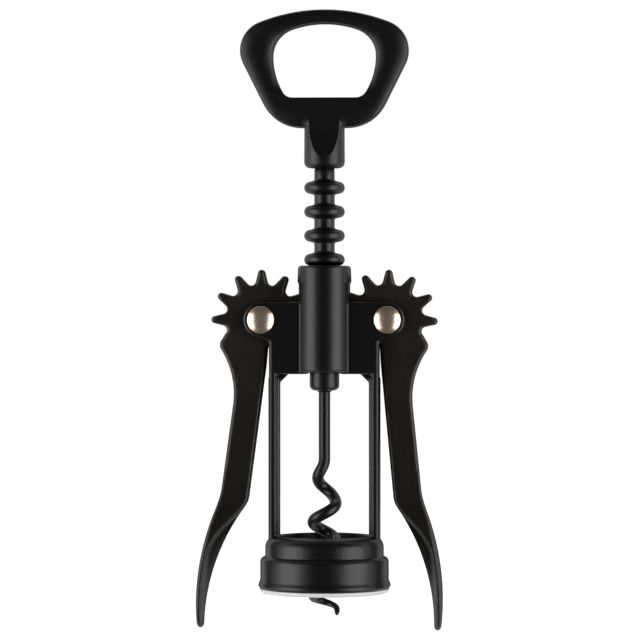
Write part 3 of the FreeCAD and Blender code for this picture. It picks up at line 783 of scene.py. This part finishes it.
def bowed(start, pull, end, steps=8):
    """A gentle curve from start towards end, drawn to the pull point; its end is left out."""
    points = []
    for step in range(steps):
        share = step / steps
        points.append(tuple((1 - share) ** 2 * a + 2 * share * (1 - share) * b + share ** 2 * c
                            for a, b, c in zip(start, pull, end)))
    return points


def rest_section(drop):
    """The thumb rest's outline at one drop: crowned outside, with two rims and a rib inside."""
    outer = outer_edge(drop)
    inner = inner_edge(drop)
    tip = max(0.0, (drop - lever_length + rest_tip_round) / rest_tip_round)
    taken = (outer - inner) / 2.0 * (1.0 - math.sqrt(1.0 - tip ** 2))
    outer -= taken
    inner += taken
    flare = smooth_step((drop - rest_flare[0]) / (rest_flare[1] - rest_flare[0]))
    half = lever_half + (rest_half_width - lever_half) * flare
    rounding = max(0.0, (drop - rest_round_start) / (lever_length - rest_round_start))
    half *= math.sqrt(1.0 - rounding ** 2)
    closing = smooth_step((ridge_span[1] - drop) / (ridge_span[1] - ridge_span[0]))
    full = outer - inner
    deepest = (1.0 - rim_land_share * (1.0 - closing)) * full
    ridge = outer - min(rest_rim + (full - rest_rim) * closing, deepest)
    crown = max(lever_round, rest_crown * flare)
    corner = outer - min(crown, (1.0 - rim_land_share) * (outer - ridge))
    rib = min(rib_half, rib_share * half)
    web = inner + web_pull[0] * (ridge - inner)
    hollow = rib + web_pull[1] * (half - rib)
    lip = min(ridge_round + (lever_round - ridge_round) * closing, half - hollow,
              (corner - ridge) * lip_share)
    lip_turns = [math.radians(90.0 * step / 5) for step in range(5)]
    lip_arc = [(ridge + lip * (1.0 - math.sin(turn)), half - lip * (1.0 - math.cos(turn)))
               for turn in lip_turns]
    power = 4.0 - 2.0 * flare
    outline = []
    for step in range(17):
        side = math.cos(math.pi * step / 16)
        bulge = max(0.0, 1.0 - abs(side) ** power) ** (1.0 / power)
        outline.append((corner + (outer - corner) * bulge, half * side))
    outline += [(x, -y) for x, y in lip_arc]
    outline += bowed((ridge, lip - half), (web, -hollow), (inner, -rib))
    outline += [(inner, -rib)]
    outline += bowed((inner, rib), (web, hollow), (ridge, half - lip))
    outline += [(ridge, half - lip)] + lip_arc[::-1]
    return [(x, y, -drop) for x, y in outline]


def browned_towards_hub(material):
    """Makes the lacquer lighter and browner in patches, rising up towards the toothed hub."""
    nodes, links = material.node_tree.nodes, material.node_tree.links
    base = nodes["Principled BSDF"].inputs["Base Color"]
    lacquer = base.links[0].from_socket
    place = nodes.new("ShaderNodeTexCoord")
    height = nodes.new("ShaderNodeSeparateXYZ")
    links.new(place.outputs["Object"], height.inputs["Vector"])
    rise = ranged(nodes, links, height.outputs["Z"], hub_brown_heights, 0.0, 1.0, "SMOOTHSTEP")
    patches = fine_texture(nodes, links, hub_brown_patch)
    spread = ranged(nodes, links, patches, hub_brown_span, 0.0, 1.0)
    share = combined(nodes, links, "MULTIPLY", rise, spread)
    links.new(blended(nodes, links, share, lacquer, hub_brown_tone), base)


lever_lacquer = satin_lacquer("lever_lacquer", *lever_tone, lever_roughness)
# lighter and browner in patches up towards the hub
browned_towards_hub(lever_lacquer)
tip = lever_length - rest_round_start
last_turn = math.asin((tip - lever_end_land) / tip)
drops = [arm_end - arm_overlap + step for step in range(int(rest_round_start - arm_end) + 1)]
drops += [rest_round_start + tip * math.sin(last_turn * step / 24) for step in range(25)]
for node, side in (("left_lever", -1.0), ("right_lever", 1.0)):
    arm = rounded_edges(plate(hub_and_arm(), lever_half), lever_round)
    pin_hole = cross_bar(0.0, 0.0, lever_bore, lever_half + rivet_overrun, 48)
    cut(arm, [pin_hole])
    discard(pin_hole)
    thumb_rest = ring_solid([rest_section(drop) for drop in drops])
    lever = cast(node + "_casting", [arm, thumb_rest], lever_softening, lever_triangles)
    lever.data.transform(Matrix.Rotation(math.radians(-lever_lifts[node]), 4, "Y"))
    lever.data.transform(Matrix.Diagonal((side, 1.0, 1.0, 1.0)))
    if side < 0.0:
        lever.data.flip_normals()
    lever.data.transform(Matrix.Translation((side * pivot_offset, 0.0, pivot_height)))
    placed(lever, node + "_casting", lever_lacquer)
    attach(lever, node)
    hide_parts(node)


# ---- rivets: a headed stud pressed into a headed sleeve, one pair in each ear ----
# Nickel-plated steel, the domes left bright.  The stud goes in from the front and the sleeve
# from the back, and the lever turns on the sleeve.
rivet_head = 4.08
rivet_dome = 1.32
rivet_edge = 0.3
rivet_sleeve = 2.25
rivet_stud = 1.4
rivet_end = 4.2
rivet_chamfer = 0.2
rivet_gap = 0.05
rivet_lip = 0.16
rivet_lip_drop = 0.1
rivet_undercut = 0.12
axis_land = 0.01
nickel = (0.70, 0.59, 0.48, 1.0)
nickel_stained = (0.56, 0.42, 0.32, 1.0)
nickel_roughness = (0.20, 0.34)
nickel_stain_size = 1.2
nickel_metallic = 0.9


def round_bar(profile, sides=96):
    """A solid of revolution round Y, from a profile of radius and depth."""
    rings = []
    for radius, depth in profile:
        ring = circle((0.0, 0.0), max(radius, axis_land), sides)
        rings.append([(x, depth, z) for x, z in ring])
    return smooth_shaded(ring_solid(rings))


def dome_profile():
    """From the crown of a rivet's head out to its rim and back under it to the ear's face."""
    sphere = (rivet_head ** 2 + rivet_dome ** 2) / (2.0 * rivet_dome)
    crown = ear_face + rivet_edge + rivet_dome
    rim_turn = math.asin(rivet_head / sphere)
    turns = [rim_turn * step / 16 for step in range(16)]
    dome = [(sphere * math.sin(turn), crown - sphere * (1.0 - math.cos(turn))) for turn in turns]
    lip_centre = (rivet_head - rivet_lip, ear_face + rivet_edge - rivet_lip_drop)
    return dome + arc(lip_centre, rivet_lip, 50.0, -40.0, 4) + [(rivet_head - rivet_undercut, ear_face)]


rivet_plating, nodes, links, shader = new_finish("rivet_nickel")
shader.inputs["Metallic"].default_value = nickel_metallic
clouded(nodes, links, shader, nickel_stain_size, (nickel, nickel_stained), nickel_roughness)
sleeve_foot = rivet_gap - ear_face
stud_end = [(rivet_stud, ear_face), (rivet_stud, rivet_chamfer - rivet_end),
            (rivet_stud - rivet_chamfer, -rivet_end), (0.0, -rivet_end)]
sleeve_end = [(rivet_sleeve, ear_face), (rivet_sleeve, sleeve_foot), (rivet_stud, sleeve_foot),
              (rivet_stud, rivet_end), (0.0, rivet_end)]
for side_name, side in (("left", -1.0), ("right", 1.0)):
    for piece_name, facing_side, shank in (("stud", -1.0, stud_end), ("sleeve", 1.0, sleeve_end)):
        rivet = round_bar([(radius, facing_side * depth) for radius, depth in dome_profile() + shank])
        rivet.data.transform(Matrix.Translation((side * pivot_offset, 0.0, pivot_height)))
        node = "%s_rivet_%s" % (side_name, piece_name)
        placed(rivet, node + "_plated", rivet_plating)
        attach(rivet, "frame")
        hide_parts(node)


# ---- rack sleeve: a turned tube with eight rings that the teeth push ----
# Turned steel in black lacquer.  It slides in the barrel in mesh with the levers' teeth, and
# the worm's wire turns in its bore.
rack_bottom = 67.4
rack_top = 127.05
rack_core = 3.05
rack_bore = 1.8
rack_chamfer = 0.25
rack_roughness = (0.33, 0.40)
rack_peel = 0.2
ring_count = 8
ring_pitch = 7.2
ring_low = 70.93
ring_radius = 6.08
ring_crest = 5.0
ring_crest_half = 1.63
ring_foot = 3.3
ring_foot_half = 2.08
ring_root_half = 2.75


def rack_profile():
    """Up the rings with their rounded crests and hollow roots, and down the bore."""
    rise = ring_foot - rack_core
    run = ring_root_half - ring_foot_half
    hollow = (rise ** 2 + run ** 2) / (2.0 * rise)
    spread = math.degrees(math.asin(run / hollow))
    profile = [(rack_core - rack_chamfer, rack_bottom), (rack_core, rack_bottom + rack_chamfer)]
    for ring in range(ring_count):
        middle = ring_low + ring * ring_pitch
        centre = rack_core + hollow
        profile += arc((centre, middle - ring_root_half), hollow, 180.0, 180.0 - spread, 6)
        crest = through((ring_crest, middle - ring_crest_half), (ring_radius, middle),
                        (ring_crest, middle + ring_crest_half), 14)
        profile += crest + [(ring_crest, middle + ring_crest_half)]
        profile += arc((centre, middle + ring_root_half), hollow, 180.0 + spread, 180.0, 6)
    profile += [(rack_core, rack_top - rack_chamfer), (rack_core - rack_chamfer, rack_top)]
    return profile + [(rack_bore, rack_top), (rack_bore, rack_bottom)]


rack_lacquer = satin_lacquer("rack_lacquer", lacquer_black, lacquer_worn, rack_roughness, rack_peel)
rack = turned([(radius, z, 0.0) for radius, z in rack_profile()], 144)
smooth_shaded(rack, edge_angle)
placed(rack, "rack_turned_sleeve", rack_lacquer)
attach(rack, "rack")
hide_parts("rack_sleeve")


# ---- worm collar: the bush pressed on the wire under the rack ----
# Turned steel in the rack's black lacquer, with a low neck round the wire.  The rack rests on
# it, and it turns with the worm.
collar_radius = 4.45
collar_bottom = 60.75
collar_top = 67.25
collar_bore = 1.76
collar_round = 1.6
collar_dish = 0.3
collar_neck_radius = 1.95
collar_neck = 0.75
collar_neck_flare = 0.25
collar_neck_round = 0.03
collar_hollow = 0.3
collar_top_round = 0.2
collar_bore_round = 0.1

neck_bottom = collar_bottom - collar_neck
collar = turned_piece([
    (collar_bore, neck_bottom, collar_neck_round), (collar_neck_radius, neck_bottom, collar_neck_round),
    (collar_neck_radius + collar_neck_flare, collar_bottom - collar_dish, collar_hollow),
    (collar_radius, collar_bottom, collar_round), (collar_radius, collar_top, collar_top_round),
    (collar_bore, collar_top, collar_bore_round)], 128)
placed(collar, "worm_collar_bush", rack_lacquer)
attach(collar, "screw")
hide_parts("worm_collar")


# ---- worm: one steel wire, straight in the rack and coiled to a point below ----
# Spring steel wire with a smooth black non-stick coating.  Its top end is pressed into the
# hub, and below the bush it bends out into a right-handed coil with a ground point.
wire_radius = 1.75
wire_top = 137.0
worm_radius = 3.4
worm_bend = (41.0, 30.0)
first_turn_height = 26.6
first_turn_pitch = 17.8
worm_pitches = ((-1.4, 11.25), (-4.2, 6.9), (-4.8, 9.5), (-5.4, 14.0), (-6.75, 26.0))
worm_flare = 0.45
worm_point_radius = 0.9
worm_point_span = (1.0, -4.0)
worm_nose = 2.1
worm_blunt = 0.97
wire_sides = 28
wire_step = 0.3
wire_look = 0.25
coating_dark = (0.0026, 0.0026, 0.0028, 1.0)
coating_light = (0.0042, 0.0042, 0.0044, 1.0)
coating_roughness = (0.34, 0.37)
coating_peel = 0.03
coating_patch = 7.0


def worm_turn(z):
    """The turn about the spindle at a height; the pitch changes at the ends of the coil."""
    if z > first_turn_height:
        return 2.0 * math.pi * (z - first_turn_height) / first_turn_pitch
    turn = 0.0
    top = first_turn_height
    for bottom, pitch in worm_pitches:
        turn -= 2.0 * math.pi * (top - max(z, bottom)) / pitch
        top = bottom
        if z >= bottom:
            break
    return turn


def worm_place(z):
    """The wire's middle at a height; it climbs right-handed round the spindle."""
    reach = worm_radius * smooth_step((worm_bend[0] - z) / (worm_bend[0] - worm_bend[1]))
    coil_foot, coil_end = worm_pitches[0][0], worm_pitches[-1][0]
    reach += worm_flare * smooth_step((coil_foot - z) / (coil_foot - coil_end))
    turn = worm_turn(z)
    return Vector((reach * math.cos(turn), reach * math.sin(turn), z))


def wire_rings():
    """Rings across the wire, from its top end down to its point, carried along without twist."""
    tip = worm_pitches[-1][0]
    heights = [wire_top, worm_bend[0] + 1.0]
    while heights[-1] > tip + 0.02:
        fine = wire_step if heights[-1] > worm_point_span[0] else wire_step / 3.0
        heights.append(max(heights[-1] - fine, tip))
    rings = []
    across = Vector((1.0, 0.0, 0.0))
    for z in heights:
        share = min(max((worm_point_span[0] - z) / (worm_point_span[0] - worm_point_span[1]), 0.0), 1.0)
        nose = max(0.0, (tip + worm_nose - z) / worm_nose)
        ground = wire_radius + (worm_point_radius - wire_radius) * share
        radius = ground * math.sqrt(1.0 - worm_blunt * nose ** 2)
        along = (worm_place(z + wire_look) - worm_place(z - wire_look)).normalized()
        across = (across - along * across.dot(along)).normalized()
        third = along.cross(across)
        spokes = [2.0 * math.pi * spoke / wire_sides for spoke in range(wire_sides)]
        rings.append([tuple(worm_place(z) + (across * math.cos(turn) + third * math.sin(turn)) * radius)
                      for turn in spokes])
    return rings


worm_coating = satin_lacquer("worm_coating", coating_dark, coating_light, coating_roughness,
                             coating_peel, coating_patch)
worm = smooth_shaded(ring_solid(wire_rings()), edge_angle)
placed(worm, "worm_wire", worm_coating)
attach(worm, "screw")
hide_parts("worm")


# ---- handle: a cast loop on a round hub ----
# Die-cast zinc in the satin black lacquer, with full round edges where the hand grips it and a
# crisp lip at the bottom of the opening, which lifts crown caps.
hub_bottom = 127.2
hub_radius = (6.1, 6.02)
hub_round = 1.8
hub_scoop = ((6.15, 130.2), (5.3, 132.6), (4.4, 135.8), (3.95, 138.4), (3.9, 140.2))
loop_half = 3.9
loop_bottom = 139.3
loop_side = 25.3
loop_widest = 162.5
loop_crown = 53.4
loop_corner = 9.0
loop_lean = 26.6
loop_chin = 12.8
opening_bottom = 148.2
opening_side = 15.45
opening_widest = 160.8
opening_crown = 29.58
opening_corner = 8.6
opening_side_radius = 21.3
opening_foot = 3.4
outer_crown = (4.9, 1.25, 1.3)
inner_crown = (3.8, 1.0, 1.1)
outer_crown_share = 0.55
inner_crown_share = 0.42
lip_round = 0.3
lip_fade = (4.5, 4.0)
chin_flat = (3.5, 7.0)
loop_middle = 159.8
loop_steps = 420
hub_sides = 128
hub_overlap = 2.0
scoop_top = 4.0
scoop_overrun = 2.0
scoop_half = 9.0
handle_roughness = (0.34, 0.41)
handle_softening = 6
handle_triangles = 52000


def crown_outline(side, widest, corner, crown, steps):
    """From the top middle down to where a corner arc starts, and that corner's centre."""
    reach = side - corner
    rise = math.sqrt((crown - corner) ** 2 - reach ** 2)
    lean = math.degrees(math.atan2(rise, reach))
    return arc((0.0, widest - rise), crown, 90.0, lean, steps), (reach, widest), lean


def loop_outline():
    """The loop's outside: a low arch, round corners and sides that lean in to the chin."""
    crown, corner, lean = crown_outline(loop_side, loop_widest, loop_corner, loop_crown, 24)
    crown += arc(corner, loop_corner, lean, -loop_lean, 24)[1:]
    slant = math.radians(loop_lean)
    side_top = crown[-1]
    chin_z = loop_bottom + loop_chin
    chin_x = side_top[0] + ((chin_z - side_top[1]) * math.sin(slant) - loop_chin) / math.cos(slant)
    return both_sides(crown + arc((chin_x, chin_z), loop_chin, -loop_lean, -90.0, 24))


def opening_outline():
    """The D-shaped opening, with the straight lip along its bottom."""
    crown, corner, lean = crown_outline(opening_side, opening_widest, opening_corner, opening_crown, 24)
    crown += arc(corner, opening_corner, lean, 0.0, 16)[1:]
    drop = opening_widest - opening_bottom - opening_foot
    arm = opening_side_radius - opening_foot
    centre_x = opening_side - opening_side_radius
    foot_x = centre_x + math.sqrt(arm ** 2 - drop ** 2)
    turn = math.degrees(math.atan2(-drop, foot_x - centre_x))
    crown += arc((centre_x, opening_widest), opening_side_radius, 0.0, turn, 24)[1:]
    crown += arc((foot_x, opening_bottom + opening_foot), opening_foot, turn, -90.0, 8)[1:]
    return both_sides(crown)


def seen_from(centre, outline, count):
    """Where rays from a point cross an outline, with the outline's outward direction there."""
    found = []
    for number in range(count):
        turn = 2.0 * math.pi * (number + 0.5) / count
        ray = Vector((math.cos(turn), math.sin(turn)))
        for index in range(len(outline)):
            start = Vector(outline[index - 1]) - centre
            along = Vector(outline[index]) - centre - start
            spread = ray.x * along.y - ray.y * along.x
            if along.length < 1e-6 or abs(spread) < 1e-9:
                continue
            reach = (start.x * along.y - start.y * along.x) / spread
            share = (start.x * ray.y - start.y * ray.x) / spread
            if reach > 0.0 and -1e-9 <= share < 1.0:
                outward = Vector((along.y, -along.x)).normalized()
                if outward.dot(ray) < 0.0:
                    outward = -outward
                found.append((centre + ray * reach, outward))
                break
    return found


def crowned_edge(width, fall, rounding):
    """Points of distance in from a side wall and depth, round first and then crowned."""
    slope = math.atan(2.0 * fall / width * (1.0 - 0.5 * rounding / width))
    start = rounding * (1.0 - math.sin(slope))
    height = loop_half - fall * (1.0 - start / width) ** 2 - rounding * math.cos(slope)
    points = []
    for step in range(8):
        turn = math.radians(90.0) + (slope - math.radians(90.0)) * step / 8
        points.append((rounding * (1.0 - math.sin(turn)), height + rounding * math.cos(turn)))
    for step in range(9):
        inward = start + (width - start) * step / 8
        points.append((inward, loop_half - fall * (1.0 - inward / width) ** 2))
    return points


def loop_sections():
    """Sections across the loop's bar: a soft crown all round, and a crisp lip under the opening."""
    centre = Vector((0.0, loop_middle))
    sections = []
    for (outer, out_way), (inner, in_way) in zip(seen_from(centre, loop_outline(), loop_steps),
                                                 seen_from(centre, opening_outline(), loop_steps)):
        bar = (outer - inner).length
        width, fall, rounding = outer_crown
        fitted = min(width, outer_crown_share * bar)
        flat = smooth_step((abs(outer.x) - chin_flat[0]) / (chin_flat[1] - chin_flat[0]))
        fall *= fitted / width * (flat if outer.y < opening_bottom else 1.0)
        outside = crowned_edge(fitted, fall, rounding)
        width, fall, rounding = inner_crown
        fitted = min(width, inner_crown_share * bar)
        lip = smooth_step((opening_bottom + lip_fade[0] - inner.y) / lip_fade[1])
        fall *= fitted / width * (1.0 - lip)
        inside = crowned_edge(fitted, fall, rounding + (lip_round - rounding) * lip)
        spots = [(outer - out_way * inward, depth) for inward, depth in outside]
        spots += [(inner + in_way * inward, depth) for inward, depth in reversed(inside)]
        section = [(spot.x, -depth, spot.y) for spot, depth in spots]
        section += [(x, -y, z) for x, y, z in reversed(section)]
        sections.append(section)
    return sections


loop = ring_solid(loop_sections(), capped=False)
hub_profile = arc((hub_radius[0] - hub_round, hub_bottom + hub_round), hub_round, -90.0, 0.0, 8)
hub_turns = [2.0 * math.pi * spoke / hub_sides for spoke in range(hub_sides)]
hub = ring_solid([[(radius * math.cos(turn), radius * math.sin(turn), z) for turn in hub_turns]
                  for radius, z in hub_profile + [(hub_radius[1], loop_bottom + hub_overlap)]])
scoop_side, scoop_end = hub_radius[0] + scoop_overrun, loop_bottom + scoop_top
wedge = list(hub_scoop) + [(loop_half, scoop_end), (scoop_side, scoop_end)]
wedge.append((scoop_side, hub_scoop[0][1]))
scoops = [ring_solid([[(x, side * y, z) for y, z in wedge] for x in (-scoop_half, scoop_half)])
          for side in (-1.0, 1.0)]
cut(hub, scoops)
shank_room = upright_bar(circle((0.0, 0.0), wire_radius, 36), hub_bottom - hub_overlap, wire_top)
cut(hub, [shank_room])
discard(shank_room, *scoops)
handle_lacquer = satin_lacquer("handle_lacquer", lacquer_black, lacquer_worn, handle_roughness)
handle = cast("handle_casting", [loop, hub], handle_softening, handle_triangles)
placed(handle, "handle_casting", handle_lacquer)
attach(handle, "screw")
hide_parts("handle")
